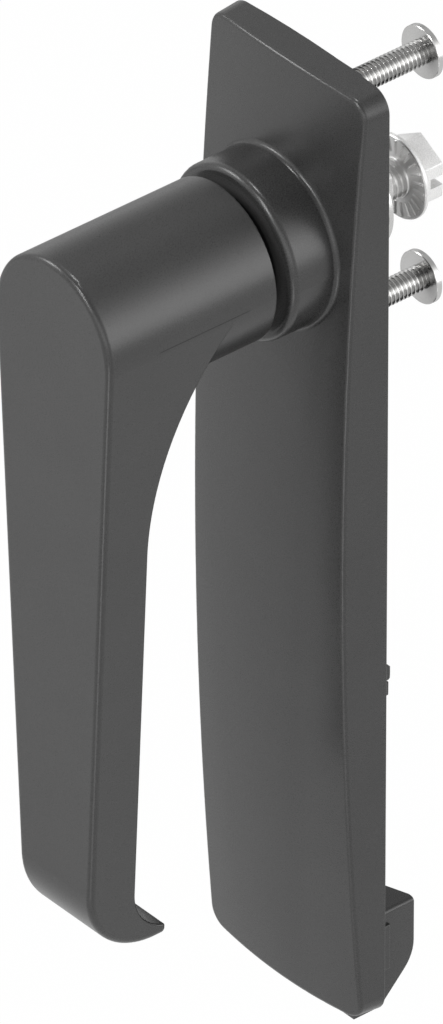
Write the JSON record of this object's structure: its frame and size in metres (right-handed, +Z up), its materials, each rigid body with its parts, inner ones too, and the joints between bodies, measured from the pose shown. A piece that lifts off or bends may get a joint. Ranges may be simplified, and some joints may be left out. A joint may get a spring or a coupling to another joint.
{
  "type": "door lever on backplate",
  "caption": "Dark grey door lever with a curled grip on a long rounded backplate, with its spindle, cam bolt and fixing screws behind.",
  "frame": {"origin": "spindle axis where it crosses the door face", "axes": "+X to the right seen from the front, +Y into the door along the spindle, +Z up"},
  "size_m": [0.0462, 0.0924, 0.2163],
  "materials": {
    "coated_casting": "fine-texture powder coat on a zinc die casting",
    "plate_plastic": "fine spark texture on glass-filled polyamide",
    "bearing_plastic": "smooth acetal",
    "brass": "turned",
    "plated_steel": "bright zinc plating",
    "rubber": "smooth"
  },
  "bodies": {
    "plate": {"backplate": "plate_plastic", "front_bush": "bearing_plastic", "rear_bush": "bearing_plastic", "post_inserts": "brass", "fixing_screws": "plated_steel"},
    "lever": {"lever": "coated_casting", "spindle": "plated_steel", "shaft_seal": "rubber", "retaining_washer": "plated_steel", "retaining_ring": "plated_steel", "cam_bolt": "plated_steel"}
  },
  "joints": [
    {"name": "lever_turn", "type": "hinge", "parent": "plate", "child": "lever", "pos_m": [0, 0, 0], "axis": [0, -1, 0], "range_deg": [0, 90]}
  ]
}
